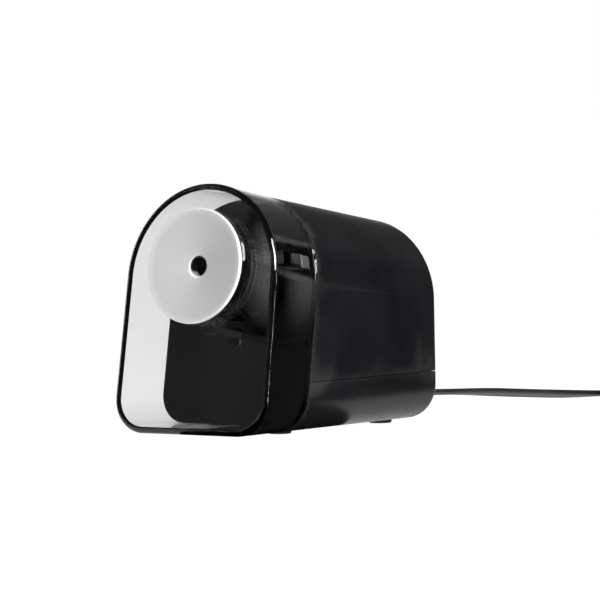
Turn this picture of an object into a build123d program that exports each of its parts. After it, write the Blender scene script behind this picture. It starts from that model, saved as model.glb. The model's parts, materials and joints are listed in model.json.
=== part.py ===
"""Desktop electric pencil sharpener with a clear shavings receptacle.

Millimetres, +Z up. The origin is the middle of the footprint, on the table. The sharpener faces -Y.
Depths called `d` run inward from the receptacle's face along the pencil axis, and `v` runs up the face.
"""

import os
from math import acos, atan2, cos, hypot, pi, radians, sin, sqrt, tan

from build123d import *

os.makedirs("parts", exist_ok=True)

# ---------------------------------------------------------------- driving dimensions
total_length = 131.0  # receptacle face to rear wall, at the table
lean = 9.2  # degrees that the face leans back
foot_stand = 1.5  # how far the feet hold the case off the table

case_height = 103.6  # crown of the face, measured up the face
case_width = 79.0  # at the bottom of the face
crown_radius = case_width / 2 - 0.9
bottom_corner = 14.8
# arch outlines: height, crown radius, width at the bottom, bottom corner radius
face_arch = (case_height, crown_radius, case_width, bottom_corner)
joint_arch = (case_height - 5.2, crown_radius - 0.9, case_width - 2.9, bottom_corner + 0.2)
rear_arch = (case_height - 18.5, crown_radius - 4.2, case_width - 9.4, bottom_corner + 0.7)
receptacle_depth = 30.5  # face to the receptacle's rear edge, along the table
seam_height = 20.4  # seam between base and upper housing, above the case's underside
seam_gap = 0.3

receptacle_wall = 2.6
housing_wall = 2.2
plug_clearance = 0.3  # between bulkhead and receptacle wall
rear_edge = 2.5  # rounding of the body's rear edge
face_edge = 2.2  # rounding of the receptacle's front edge

pencil_height = 68.9  # pencil axis above the case's underside, measured up the face
pencil_hole_radius = 4.0
disc_radius = 23.8
disc_stand = 4.4  # rim of the disc in front of the face
disc_dish = 3.1  # depth of the funnel
disc_plate = 1.2
guide_length = 4.0  # guide sleeve behind the face

bulkhead_lead = 2.0  # how far the bulkhead reaches into the receptacle
bulkhead_plate = 3.0
tunnel_radius = 19.0  # cutter tunnel through the bulkhead
tunnel_wall = 1.5

pencil_tip = 42.0  # depth of a sharp pencil's tip
point_angle = 11.0  # half angle of the sharpened point
cutter_radius = 6.5
cutter_length = 22.0
cutter_flutes = 12
cutter_pin_radius = 1.5

gear_module = 0.8
motor_teeth = 12
idler_large_teeth = 36
idler_small_teeth = 14
carrier_teeth = 48
cutter_teeth = 13
ring_teeth = 27
idler_offset = 16.0  # how far the idler stands to the left of the pencil axis
gear_backlash = 0.16

journal_radius = 6.0
running_clearance = 0.05

rotor_radius = 12.0
air_gap = 0.35
motor_shaft_radius = 2.4
stack_thickness = 16.0
stack_half_width = 25.0

foot_radius = 5.0
foot_offset = 15.0  # middle of the case to a foot
foot_inset = 0.8  # how far each foot is let into the base
screw_radius = 1.5
screw_head_radius = 2.8
screw_head_height = 1.8

cord_width = 5.6
cord_exit_height = 10.0
relief_length = 28.0

# ---------------------------------------------------------------- frames of reference
front_y = -total_length / 2
rear_y = total_length / 2
up = Vector(0, sin(radians(lean)), cos(radians(lean)))
inward = Vector(0, cos(radians(lean)), -sin(radians(lean)))
face_foot = Vector(0, front_y, foot_stand)
foot_sites = [(foot_offset, front_y + 43.5), (foot_offset, rear_y - 15.5)]  # on both sides
pencil_origin = face_foot + up * pencil_height


def slope_plane(depth):
    """Plane parallel to the face, `depth` behind it along the table, starting at the case's underside."""
    return Plane(face_foot + Vector(0, depth, 0), x_dir=(1, 0, 0), z_dir=-inward)


def station(d):
    """Plane across the pencil axis at depth d, with local y up the face."""
    return Plane(pencil_origin + inward * d, x_dir=(1, 0, 0), z_dir=-inward)


side_plane = Plane(pencil_origin, x_dir=inward, z_dir=(1, 0, 0))  # local x is d, local y is v
pencil_axis = Axis(pencil_origin, inward)


def place(x, d, v):
    """Point of the case from its offset, depth and height about the pencil axis."""
    return pencil_origin + Vector(x, 0, 0) + inward * d + up * v


def section_sizes(depth):
    """Arch sizes of the case at a depth: the receptacle and the body each taper evenly."""
    if depth <= receptacle_depth:
        share = depth / receptacle_depth
        first, last = face_arch, joint_arch
    else:
        share = (depth - receptacle_depth) / (total_length - receptacle_depth)
        first, last = joint_arch, rear_arch
    return [a + (b - a) * share for a, b in zip(first, last)]


def arch_face(plane, sizes, inset=0.0):
    """Arch with sides tangent to its crown and rounded bottom corners, shrunk all round by `inset`."""
    height, radius, width, corner = sizes
    centre = height - radius
    half = width / 2
    angle = atan2(-centre, half) + acos(radius / hypot(half, centre))
    shoulder = (radius * cos(angle), centre + radius * sin(angle))
    with BuildSketch(plane) as arch:
        with BuildLine():
            Line((-half, 0), (half, 0))
            Line((half, 0), shoulder)
            ThreePointArc(shoulder, (0, height), (-shoulder[0], shoulder[1]))
            Line((-shoulder[0], shoulder[1]), (-half, 0))
        make_face()
        fillet(arch.vertices().sort_by(Axis.Y)[:2], corner)
        if inset:
            offset(amount=-inset, mode=Mode.REPLACE)
    return arch.sketch.face()


def case_section(depth, inset=0.0):
    """Section of the case parallel to the face."""
    return arch_face(slope_plane(depth), section_sizes(depth), inset)


def rear_section(y, inset=0.0):
    """Upright section at the rear of the body."""
    plane = Plane((0, y, foot_stand), x_dir=(1, 0, 0), z_dir=(0, -1, 0))
    return arch_face(plane, rear_arch, inset)


def half_width(depth, height):
    """Half the outer width of the case at a depth and a height up the face."""
    total, radius, width, corner = section_sizes(depth)
    centre = total - radius
    if height > centre:
        return sqrt(radius**2 - (height - centre) ** 2)
    return width / 2 + (radius - width / 2) * height / centre


def rod(d_front, d_back, radius, at=(0, 0), mode=Mode.ADD):
    """Round bar along the pencil axis between two depths, at an offset (x, v)."""
    with BuildSketch(station(d_back)) as profile:
        with Locations(at):
            Circle(radius)
    extrude(profile.sketch, amount=d_back - d_front, mode=mode)


def slab(d_front, d_back, width, height, at=(0, 0), corner=0.0, mode=Mode.ADD):
    """Rectangular bar along the pencil axis between two depths, at an offset (x, v)."""
    with BuildSketch(station(d_back)) as profile:
        with Locations(at):
            if corner:
                RectangleRounded(width, height, corner)
            else:
                Rectangle(width, height)
    extrude(profile.sketch, amount=d_back - d_front, mode=mode)


def post(x, y, z_low, z_high, radius, mode=Mode.ADD):
    """Upright cylinder."""
    with BuildSketch(Plane((x, y, z_low))) as profile:
        Circle(radius)
    extrude(profile.sketch, amount=z_high - z_low, mode=mode)


pressure_angle = radians(25)


def involute(radius, base_radius):
    """Involute function at a radius."""
    angle = acos(min(1.0, base_radius / radius))
    return tan(angle) - angle


def gear_points(teeth, phase, backlash, tip=0.8, root=1.1):
    """Outline of a gear whose first tooth is centred at `phase` degrees."""
    pitch_radius = teeth * gear_module / 2
    base_radius = pitch_radius * cos(pressure_angle)
    tip_radius = pitch_radius + tip * gear_module
    root_radius = pitch_radius - root * gear_module
    half_tooth = pi / (2 * teeth) - backlash / (2 * pitch_radius)
    start = max(base_radius, root_radius + 0.05)
    steps = [start + (tip_radius - start) * k / 3 for k in range(4)]
    flank = [(root_radius, half_tooth + involute(pitch_radius, base_radius))]
    for radius in steps:
        spread = half_tooth + involute(pitch_radius, base_radius) - involute(radius, base_radius)
        flank.append((radius, spread))
    points = []
    for tooth in range(teeth):
        middle = radians(phase) + 2 * pi * tooth / teeth
        for radius, spread in flank:
            points.append((radius * cos(middle - spread), radius * sin(middle - spread)))
        for radius, spread in reversed(flank):
            points.append((radius * cos(middle + spread), radius * sin(middle + spread)))
    return points


def mesh_phase(line_angle, phase, teeth, mate_teeth, internal=False):
    """Phase of a gear that meshes with one of `teeth` teeth at `phase`, seen at `line_angle` from it."""
    share = ((line_angle - phase) / (360 / teeth)) % 1
    if internal:
        return line_angle - share * 360 / mate_teeth
    return line_angle + 180 - (0.5 - share) * 360 / mate_teeth


def toothed(plane, length, teeth, phase, at=(0, 0), backlash=gear_backlash, mode=Mode.ADD):
    """Spur gear blank with teeth, extruded out of a plane."""
    with BuildSketch(plane) as profile:
        with Locations(at):
            Polygon(*gear_points(teeth, phase, backlash), align=None)
    extrude(profile.sketch, amount=length, mode=mode)


def finish(piece, name):
    """Label a finished piece and write it."""
    piece.part.label = name
    export_step(piece.part, f"parts/{name}.step")


# ---------------------------------------------------------------- shavings receptacle and disc
boss_face = disc_stand - disc_plate  # how far the boss stands in front of the face
boss_inner = disc_radius - receptacle_wall
guide_radius = pencil_hole_radius + 2.0
lug_height = 5.0  # interlock lug, above the pencil axis
lug_offset = case_width / 2 - 12.5
lug_free_end = lug_offset - 3.0
lug_reach = half_width(receptacle_depth / 2, pencil_height + lug_height) - 0.6 - lug_free_end
lug_end = receptacle_depth * cos(radians(lean)) - bulkhead_lead - 2.0

with BuildPart() as shavings_receptacle:
    loft([case_section(0), case_section(receptacle_depth)], ruled=True)
    front_edges = shavings_receptacle.faces().sort_by(Axis(pencil_origin, -inward))[-1].edges()
    fillet(front_edges, face_edge)
    loft(
        [case_section(receptacle_wall, receptacle_wall), case_section(receptacle_depth, receptacle_wall)],
        ruled=True,
        mode=Mode.SUBTRACT,
    )
    rod(-boss_face, receptacle_wall, disc_radius)
    rod(-boss_face, receptacle_wall + 1, boss_inner, mode=Mode.SUBTRACT)
    slab(8.0, lug_end, lug_reach, 5.0, at=(lug_free_end + lug_reach / 2, lug_height))
finish(shavings_receptacle, "shavings_receptacle")

with BuildPart() as pencil_disc:
    funnel_floor = disc_dish - disc_stand
    with BuildSketch(side_plane) as disc_profile:
        with BuildLine():
            Polyline(
                (-disc_stand + 0.3, disc_radius),
                (-disc_stand, disc_radius - 0.3),
                (-disc_stand, disc_radius - 0.9),
                (funnel_floor, pencil_hole_radius + 0.9),
                (funnel_floor + 0.6, pencil_hole_radius),
                (guide_length, pencil_hole_radius),
                (guide_length, guide_radius),
                (funnel_floor + disc_plate + 0.3, guide_radius),
                (-boss_face, disc_radius - 3.5),
                (-boss_face, disc_radius),
                close=True,
            )
        make_face()
    revolve(axis=pencil_axis)
finish(pencil_disc, "pencil_disc")

# ---------------------------------------------------------------- bulkhead
plug_inset = receptacle_wall + plug_clearance
socket_inset = housing_wall + plug_clearance
skirt_end = receptacle_depth + 7.0
skirt_wall = 2.4
plate_front = receptacle_depth - bulkhead_lead
plate_back = plate_front + bulkhead_plate
plate_back_d = plate_back * cos(radians(lean))
lever_pivot_d = 42.5
lever_pin_radius = 1.2
lever_v = -24.5
lever_half_width = 2.5
shelf_top_v = -38.0
switch_d = (31.5, 43.5)
ring_front_d = pencil_tip + 3.6
plunger_radius = 1.6
interlock_front_d = 38.0

with BuildPart() as front_bulkhead:
    loft(
        [case_section(plate_front, plug_inset), case_section(receptacle_depth, plug_inset + 0.3)],
        ruled=True,
    )
    loft(
        [case_section(receptacle_depth, plug_inset + 0.3), case_section(skirt_end, socket_inset + 0.6)],
        ruled=True,
    )
    loft(
        [
            case_section(plate_back, plug_inset + skirt_wall),
            case_section(skirt_end, socket_inset + skirt_wall + 0.6),
        ],
        ruled=True,
        mode=Mode.SUBTRACT,
    )
    rod(plate_back_d - 1, ring_front_d - 0.2, tunnel_radius + tunnel_wall)
    rod(0, ring_front_d, tunnel_radius, mode=Mode.SUBTRACT)
    # slot for the start lever, and two ears for its pin
    slab(0, plate_back_d + 1, 2 * lever_half_width + 1.6, 7.0, at=(0, lever_v - 0.7), mode=Mode.SUBTRACT)
    for side in (-1, 1):
        slab(plate_back_d - 1, lever_pivot_d + 4, 2.4, 8.2, at=(side * 4.3, lever_v - 0.4))
    with BuildSketch(side_plane.offset(-10)) as ear_holes:
        with Locations((lever_pivot_d, lever_v)):
            Circle(lever_pin_radius)
    extrude(ear_holes.sketch, amount=20, mode=Mode.SUBTRACT)
    # shelf for the start switch
    slab(plate_back_d - 1, switch_d[1] + 1.5, 14.0, 2.0, at=(0, shelf_top_v - 1))
    # post for the interlock switch, and the hole for its plunger
    slab(plate_back_d - 1, interlock_front_d, 3.6, 6.0, at=(lug_offset - 5.0, lug_height - 5.0))
    rod(0, plate_back_d + 9, plunger_radius + running_clearance, (lug_offset, lug_height), Mode.SUBTRACT)
finish(front_bulkhead, "front_bulkhead")

# ---------------------------------------------------------------- case: upper housing and base
seam_z = foot_stand + seam_height
floor_thickness = 2.5
boss_radius = 4.5
boss_inset = 14.8  # outer wall to the middle of a boss, at the table
boss_rows = (front_y + 49.5, rear_y - 13.5)
boss_sites = [(half_width(y - front_y, 0) - boss_inset, y) for y in boss_rows]  # on both sides
boss_top_z = seam_z + 16.0
screw_seat_z = foot_stand + 3.5
case_screw_top = boss_top_z - 5.0


def body_solid():
    """Outer shape of the whole body, filled."""
    with BuildPart() as solid:
        loft([case_section(receptacle_depth), rear_section(rear_y)], ruled=True)
        fillet(solid.faces().sort_by(Axis.Y)[-1].edges(), rear_edge)
    return solid.part


def body_shell():
    """Whole body shell, open at the bulkhead."""
    with BuildPart() as shell:
        add(outer_body)
        loft(
            [
                case_section(receptacle_depth, housing_wall),
                rear_section(rear_y - housing_wall, housing_wall),
            ],
            ruled=True,
            mode=Mode.SUBTRACT,
        )
    return shell.part


relief_hole_radius = 4.6
outer_body = body_solid()
shell_part = body_shell()


def boss_web(side, x, y, z_low, z_high):
    """Web that ties a screw boss to the side wall."""
    with BuildSketch(Plane((side * (x + boss_inset / 2), y, z_low))) as web:
        Rectangle(boss_inset, 2.0)
    extrude(web.sketch, amount=z_high - z_low)


with BuildPart() as upper_housing:
    add(shell_part)
    split(bisect_by=Plane((0, 0, seam_z + seam_gap)), keep=Keep.TOP)
    for x, y in boss_sites:
        for side in (-1, 1):
            post(side * x, y, seam_z + seam_gap, boss_top_z, boss_radius)
            boss_web(side, x, y, seam_z + seam_gap, boss_top_z)
            post(side * x, y, seam_z, boss_top_z - 2, screw_radius + 0.02, Mode.SUBTRACT)
    add(outer_body, mode=Mode.INTERSECT)
finish(upper_housing, "upper_housing")

frame_foot_y = place(0, 57, -50).Y
frame_post_top = 9.0
frame_post_x = 21.0
frame_screw_radius = 1.25
frame_flange_thickness = 3.5
tab_rows = (front_y + 69.5, front_y + 99.5)
tab_length = 10.0
# steps of a tab's section: bottom and top about the seam, inner and outer side about the wall
tab_steps = ((-5.0, -1.0, 2.4, -0.8), (-1.0, 3.0, 2.4, 0.4))

with BuildPart() as base:
    add(shell_part)
    split(bisect_by=Plane((0, 0, seam_z)), keep=Keep.BOTTOM)
    # tabs that locate the upper housing
    for y in tab_rows:
        wall_x = half_width(y - front_y, seam_height) - housing_wall
        for side in (-1, 1):
            for low, high, inner, outer in tab_steps:
                with BuildSketch(Plane((side * (wall_x - (inner + outer) / 2), y, seam_z + low))) as tab:
                    Rectangle(inner - outer, tab_length)
                extrude(tab.sketch, amount=high - low)
    for x, y in boss_sites:
        for side in (-1, 1):
            post(side * x, y, foot_stand, seam_z, boss_radius)
            boss_web(side, x, y, foot_stand, seam_z)
            post(side * x, y, foot_stand - 1, seam_z + 1, screw_radius + 0.2, Mode.SUBTRACT)
            post(side * x, y, foot_stand - 1, screw_seat_z, screw_head_radius + 0.3, Mode.SUBTRACT)
    for side in (-1, 1):
        spot = (side * frame_post_x, frame_foot_y)
        post(*spot, foot_stand + 1, frame_post_top, 3.5)
        post(*spot, foot_stand + 2, frame_post_top + 1, frame_screw_radius, Mode.SUBTRACT)
    with BuildSketch(Plane((0, rear_y - 10, cord_exit_height), z_dir=(0, 1, 0))) as relief_hole:
        Circle(relief_hole_radius)
    extrude(relief_hole.sketch, amount=20, mode=Mode.SUBTRACT)
    for x, y in foot_sites:
        for side in (-1, 1):
            socket_radius = foot_radius + running_clearance
            post(side * x, y, foot_stand - 1, foot_stand + foot_inset, socket_radius, Mode.SUBTRACT)
    add(outer_body, mode=Mode.INTERSECT)
finish(base, "base")

with BuildPart() as rubber_feet:
    for x, y in foot_sites:
        for side in (-1, 1):
            post(side * x, y, 0, foot_stand + foot_inset, foot_radius)
    low = rubber_feet.edges().group_by(Axis.Z)[0]
    chamfer(low, 0.5)
finish(rubber_feet, "rubber_feet")

with BuildPart() as case_screws:
    for x, y in boss_sites:
        for side in (-1, 1):
            post(side * x, y, screw_seat_z - screw_head_height, screw_seat_z, screw_head_radius)
            post(side * x, y, screw_seat_z, case_screw_top, screw_radius)
finish(case_screws, "case_screws")

# ---------------------------------------------------------------- gear frame, ring gear and bush
plate_d = (55.0, 59.0)
ring_length = 3.3
ring_outer = 16.0
cup_outer = 18.5
bush_outer = 9.0
carrier_gear_d = (61.0, 66.0)
idler_small_d = (60.5, 66.3)
idler_large_d = (67.5, 71.5)
motor_pinion_d = (67.0, 72.0)
first_stage = (motor_teeth + idler_large_teeth) * gear_module / 2
second_stage = (idler_small_teeth + carrier_teeth) * gear_module / 2
idler_at = (-idler_offset, -sqrt(second_stage**2 - idler_offset**2))
motor_at = (0.0, idler_at[1] - sqrt(first_stage**2 - idler_offset**2))
motor_screw_x = 20.5
motor_screw_height = 12.5
motor_screw_low = [(side * motor_screw_x, motor_at[1] - motor_screw_height) for side in (-1, 1)]
motor_screw_high = [(side * motor_screw_x, motor_at[1] + motor_screw_height) for side in (-1, 1)]
front_bracket_d = 75.0
idler_axle_radius = 2.0

with BuildPart() as gear_frame:
    with BuildSketch(station(plate_d[1])) as plate_outline:
        Circle(24.0)
        with Locations((0, -23.0)):
            Rectangle(46.0, 46.0)
        with Locations(idler_at):
            Circle(9.0)
        with Locations((0, -46.0)):
            Rectangle(52.0, 8.0)
    extrude(plate_outline.sketch, amount=plate_d[1] - plate_d[0])
    rod(ring_front_d, plate_d[0], cup_outer)
    rod(ring_front_d - 1, plate_d[0], ring_outer, mode=Mode.SUBTRACT)
    rod(plate_d[0] - 1, plate_d[1] + 1, bush_outer, mode=Mode.SUBTRACT)
    rod(plate_d[0] - 1, plate_d[1] + 1, idler_axle_radius, at=idler_at, mode=Mode.SUBTRACT)
    for site in motor_screw_low:
        rod(plate_d[1] - 1, front_bracket_d, 4.0, at=site)
        hole_radius = screw_radius + running_clearance
        rod(plate_d[0] - 1, front_bracket_d + 1, hole_radius, at=site, mode=Mode.SUBTRACT)
    # feet bolted down to the base
    with BuildSketch(Plane((0, frame_foot_y, frame_post_top))) as foot_flange:
        with Locations((frame_post_x, 0), (-frame_post_x, 0)):
            Rectangle(10.0, 9.0)
    extrude(foot_flange.sketch, amount=frame_flange_thickness)
    for side in (-1, 1):
        spot = (side * frame_post_x, frame_foot_y)
        flange_top = frame_post_top + frame_flange_thickness
        post(*spot, frame_post_top - 1, flange_top, screw_radius + 0.1, Mode.SUBTRACT)
        post(*spot, flange_top, flange_top + 5.5, 3.2, Mode.SUBTRACT)
finish(gear_frame, "gear_frame")

with BuildPart() as frame_screws:
    for side in (-1, 1):
        spot = (side * frame_post_x, frame_foot_y)
        flange_top = frame_post_top + frame_flange_thickness
        post(*spot, flange_top, flange_top + screw_head_height, 2.6)
        post(*spot, foot_stand + 2.5, flange_top, frame_screw_radius - 0.01)
finish(frame_screws, "frame_screws")

rest_cutter_angle = 90.0  # the cutter stands above the pencil at rest
cutter_phase = 0.0
ring_phase = mesh_phase(rest_cutter_angle, cutter_phase, cutter_teeth, ring_teeth, internal=True)

with BuildPart() as ring_gear:
    rod(ring_front_d, ring_front_d + ring_length, ring_outer)
    with BuildSketch(station(ring_front_d + ring_length + 1)) as ring_teeth_profile:
        Polygon(*gear_points(ring_teeth, ring_phase, -2 * gear_backlash, tip=1.3, root=0.6), align=None)
    extrude(ring_teeth_profile.sketch, amount=ring_length + 2, mode=Mode.SUBTRACT)
finish(ring_gear, "ring_gear")

with BuildPart() as carrier_bush:
    rod(plate_d[0] - 1, plate_d[1] + 1.0, bush_outer)
    rod(plate_d[0] - 2, plate_d[1] + 2, journal_radius + running_clearance, mode=Mode.SUBTRACT)
finish(carrier_bush, "carrier_bush")

# ---------------------------------------------------------------- cutter head
cone = radians(point_angle)
cutter_reach = cutter_radius / cos(cone)
cutter_origin = pencil_origin + inward * pencil_tip + up * cutter_reach
cutter_inward = inward * cos(cone) - up * sin(cone)
nose_d = (14.0, 18.4)
nose_radius = 15.5
arm_back_d = 44.0
flange_d = (50.4, 53.4)
journal_end_d = 67.0
pinion_s = 5.35
pinion_length = 2.8
cutter_front_s = -cutter_length
pin_s = (-27.6, 10.2)


def cutter_station(s):
    """Plane across the cutter's own axis, s behind the pencil's tip."""
    return Plane(cutter_origin + cutter_inward * s, x_dir=(1, 0, 0), z_dir=-cutter_inward)


def cutter_rod(s_front, s_back, radius, mode=Mode.ADD):
    """Round bar along the cutter's own axis."""
    with BuildSketch(cutter_station(s_back)) as profile:
        Circle(radius)
    extrude(profile.sketch, amount=s_back - s_front, mode=mode)


with BuildPart() as cutter_carrier:
    rod(nose_d[0], nose_d[1], nose_radius)
    with BuildSketch(station(arm_back_d)) as arm:
        Circle(13.0)
        with Locations((0, 10.0)):
            Rectangle(30.0, 30.0, mode=Mode.SUBTRACT)
    extrude(arm.sketch, amount=arm_back_d - nose_d[1])
    with BuildSketch(station(flange_d[0])) as neck:
        Circle(9.4)
        with Locations((0, 8.2)):
            Rectangle(30.0, 20.0, mode=Mode.SUBTRACT)
    extrude(neck.sketch, amount=flange_d[0] - arm_back_d)
    rod(flange_d[0], flange_d[1], 12.5)
    rod(flange_d[1], journal_end_d, journal_radius)
    rod(nose_d[0] - 1, nose_d[1] + 5, pencil_hole_radius + 0.4, mode=Mode.SUBTRACT)
    cutter_rod(pin_s[0], pin_s[1], cutter_pin_radius, Mode.SUBTRACT)
finish(cutter_carrier, "cutter_carrier")

with BuildPart() as cutter_pin:
    cutter_rod(pin_s[0], pin_s[1], cutter_pin_radius)
finish(cutter_pin, "cutter_pin")


def flute_outline(turn):
    """Saw-tooth section of the cutter, turned by an angle in degrees."""
    points = []
    for k in range(cutter_flutes):
        edge = radians(360 * k / cutter_flutes + turn)
        gullet = edge + radians(8)
        points.append((cutter_radius * cos(edge), cutter_radius * sin(edge)))
        points.append(((cutter_radius - 0.9) * cos(gullet), (cutter_radius - 0.9) * sin(gullet)))
    return points


with BuildPart() as helical_cutter:
    slices = 5
    sections = []
    for k in range(slices + 1):
        with BuildSketch(cutter_station(cutter_front_s + cutter_length * k / slices)) as cut:
            Polygon(*flute_outline(12.0 * k), align=None)
        sections.append(cut.sketch.face())
    loft(sections, ruled=True)
    cutter_rod(0, pinion_s - pinion_length / 2, 3.4)
    cutter_rod(cutter_front_s - 1, pinion_s, cutter_pin_radius + running_clearance, Mode.SUBTRACT)
finish(helical_cutter, "helical_cutter")

with BuildPart() as cutter_pinion:
    pinion_back = cutter_station(pinion_s + pinion_length / 2)
    toothed(pinion_back, pinion_length, cutter_teeth, cutter_phase, backlash=2 * gear_backlash)
    cutter_rod(0, pin_s[1], cutter_pin_radius + running_clearance, Mode.SUBTRACT)
finish(cutter_pinion, "cutter_pinion")

# ---------------------------------------------------------------- gear train
motor_phase = 90.0
motor_to_idler = atan2(idler_at[1] - motor_at[1], idler_at[0] - motor_at[0]) * 180 / pi
idler_large_phase = mesh_phase(motor_to_idler, motor_phase, motor_teeth, idler_large_teeth)
idler_small_phase = 0.0
idler_to_carrier = atan2(-idler_at[1], -idler_at[0]) * 180 / pi
carrier_phase = mesh_phase(idler_to_carrier, idler_small_phase, idler_small_teeth, carrier_teeth)

with BuildPart() as carrier_gear:
    face_width = carrier_gear_d[1] - carrier_gear_d[0]
    toothed(station(carrier_gear_d[1]), face_width, carrier_teeth, carrier_phase)
    rod(carrier_gear_d[0] - 1, carrier_gear_d[1] + 1, journal_radius, mode=Mode.SUBTRACT)
finish(carrier_gear, "carrier_gear")

with BuildPart() as idler_gear:
    small_width = idler_small_d[1] - idler_small_d[0]
    large_width = idler_large_d[1] - idler_large_d[0]
    toothed(station(idler_small_d[1]), small_width, idler_small_teeth, idler_small_phase, idler_at)
    rod(idler_small_d[1], idler_large_d[0], 4.2, at=idler_at)
    toothed(station(idler_large_d[1]), large_width, idler_large_teeth, idler_large_phase, idler_at)
    bore_radius = idler_axle_radius + running_clearance
    rod(idler_small_d[0] - 1, idler_large_d[1] + 1, bore_radius, idler_at, Mode.SUBTRACT)
finish(idler_gear, "idler_gear")

with BuildPart() as idler_axle:
    rod(plate_d[0], idler_large_d[1] + 2.0, idler_axle_radius, at=idler_at)
finish(idler_axle, "idler_axle")

with BuildPart() as retaining_clips:
    rod(idler_large_d[1] + 0.4, idler_large_d[1] + 1.2, 4.0, at=idler_at)
    rod(idler_large_d[1], idler_large_d[1] + 2, idler_axle_radius, idler_at, Mode.SUBTRACT)
finish(retaining_clips, "retaining_clips")

with BuildPart() as motor_pinion:
    face_width = motor_pinion_d[1] - motor_pinion_d[0]
    toothed(station(motor_pinion_d[1]), face_width, motor_teeth, motor_phase, motor_at)
    rod(motor_pinion_d[0] - 1, motor_pinion_d[1] + 1, motor_shaft_radius, motor_at, Mode.SUBTRACT)
finish(motor_pinion, "motor_pinion")

# ---------------------------------------------------------------- motor
stack_front_d = front_bracket_d + 5.0
stack_back_d = stack_front_d + stack_thickness
rear_bracket_d = stack_back_d + 5.0
bracket_thickness = 2.5
stack_low = 17.0
stack_high = 37.0
leg_low = 26.0
window_low = 15.0
window_half = 14.0
shaft_end_d = rear_bracket_d + 13.0
bush_radius = motor_shaft_radius + 2.1
hub_radius = bush_radius + 2.5
shading_rod_at = (14.2, 5.0)
shading_rod_width = 2.0


def motor_spot(x, height):
    """Offset (x, v) of a point given about the motor shaft."""
    return (motor_at[0] + x, motor_at[1] + height)


with BuildPart() as stator_stack:
    middle = (stack_high - stack_low) / 2
    stack_height = stack_high + stack_low
    slab(stack_front_d, stack_back_d, 2 * stack_half_width, stack_height, motor_spot(0, middle), 2.0)
    window_height = leg_low - window_low
    slab(
        stack_front_d - 1, stack_back_d + 1, 2 * window_half, window_height,
        motor_spot(0, window_low + window_height / 2), mode=Mode.SUBTRACT,
    )
    rod(stack_front_d - 1, stack_back_d + 1, rotor_radius + air_gap, motor_at, Mode.SUBTRACT)
    for site in motor_screw_low + motor_screw_high:
        rod(stack_front_d - 1, stack_back_d + 1, screw_radius + 0.1, site, Mode.SUBTRACT)
    for side in (-1, 1):
        spot = motor_spot(side * shading_rod_at[0], side * shading_rod_at[1])
        slot_width = shading_rod_width + 0.2
        slab(stack_front_d - 1, stack_back_d + 1, slot_width, slot_width, spot, mode=Mode.SUBTRACT)
finish(stator_stack, "stator_stack")

with BuildPart() as shading_rods:
    for side in (-1, 1):
        spot = motor_spot(side * shading_rod_at[0], side * shading_rod_at[1])
        slab(stack_front_d - 1.6, stack_back_d + 1.6, shading_rod_width, shading_rod_width, spot)
finish(shading_rods, "shading_rods")

coil_half_length = 12.6
flange_thickness = 1.2
bobbin_wall = 1.0
coil_build = 7.0
leg_middle = (leg_low + stack_high) / 2
leg_height = stack_high - leg_low
bobbin_fit = 0.1

with BuildPart() as coil_bobbin:
    centre = motor_spot(0, leg_middle)
    depth = (stack_front_d + stack_back_d) / 2
    bobbin_plane = Plane(place(0, depth, centre[1]), x_dir=inward, z_dir=(1, 0, 0))
    with BuildSketch(bobbin_plane.offset(-coil_half_length)) as tube_profile:
        tube_grow = 2 * (bobbin_fit + bobbin_wall)
        Rectangle(stack_thickness + tube_grow, leg_height + tube_grow)
    extrude(tube_profile.sketch, amount=2 * coil_half_length)
    for start in (-coil_half_length - flange_thickness, coil_half_length):
        with BuildSketch(bobbin_plane.offset(start)) as flange_profile:
            RectangleRounded(stack_thickness + 2 * coil_build + 2, leg_height + 2 * coil_build + 2, 2.0)
        extrude(flange_profile.sketch, amount=flange_thickness)
    with BuildSketch(bobbin_plane.offset(-20)) as leg_hole:
        Rectangle(stack_thickness + 2 * bobbin_fit, leg_height + 2 * bobbin_fit)
    extrude(leg_hole.sketch, amount=40, mode=Mode.SUBTRACT)
finish(coil_bobbin, "coil_bobbin")

with BuildPart() as coil_winding:
    with BuildSketch(bobbin_plane.offset(-coil_half_length)) as winding_profile:
        RectangleRounded(stack_thickness + 2 * coil_build, leg_height + 2 * coil_build, 4.0)
        Rectangle(
            stack_thickness + 2 * (bobbin_fit + bobbin_wall),
            leg_height + 2 * (bobbin_fit + bobbin_wall),
            mode=Mode.SUBTRACT,
        )
    extrude(winding_profile.sketch, amount=2 * coil_half_length)
finish(coil_winding, "coil_winding")


def motor_bracket(plate_start, hub_start, hub_end, post_start, post_end):
    """Bearing bracket: a plate on four short posts with a hub for the bush."""
    with BuildPart() as bracket:
        plate_width = 2 * (motor_screw_x + 4.0)
        plate_height = 2 * (motor_screw_height + 4.0)
        slab(plate_start, plate_start + bracket_thickness, plate_width, plate_height, motor_at, 5.0)
        for site in motor_screw_low + motor_screw_high:
            rod(post_start, post_end, 3.8, site)
        rod(hub_start, hub_end, hub_radius, motor_at)
        rod(hub_start - 1, hub_end + 1, bush_radius, motor_at, Mode.SUBTRACT)
        for site in motor_screw_low + motor_screw_high:
            rod(plate_start - 5, plate_start + 12, screw_radius + 0.1, site, Mode.SUBTRACT)
    return bracket


front_plate_end = front_bracket_d + bracket_thickness
front_hub = (front_bracket_d - 1.5, front_plate_end + 1.0)
front_bracket = motor_bracket(
    front_bracket_d, front_hub[0], front_hub[1], front_plate_end, stack_front_d
)
finish(front_bracket, "motor_front_bracket")
rear_plate_start = rear_bracket_d - bracket_thickness
rear_hub = (rear_plate_start - 1.0, rear_bracket_d + 1.5)
rear_bracket = motor_bracket(rear_plate_start, rear_hub[0], rear_hub[1], stack_back_d, rear_plate_start)
finish(rear_bracket, "motor_rear_bracket")

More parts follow.
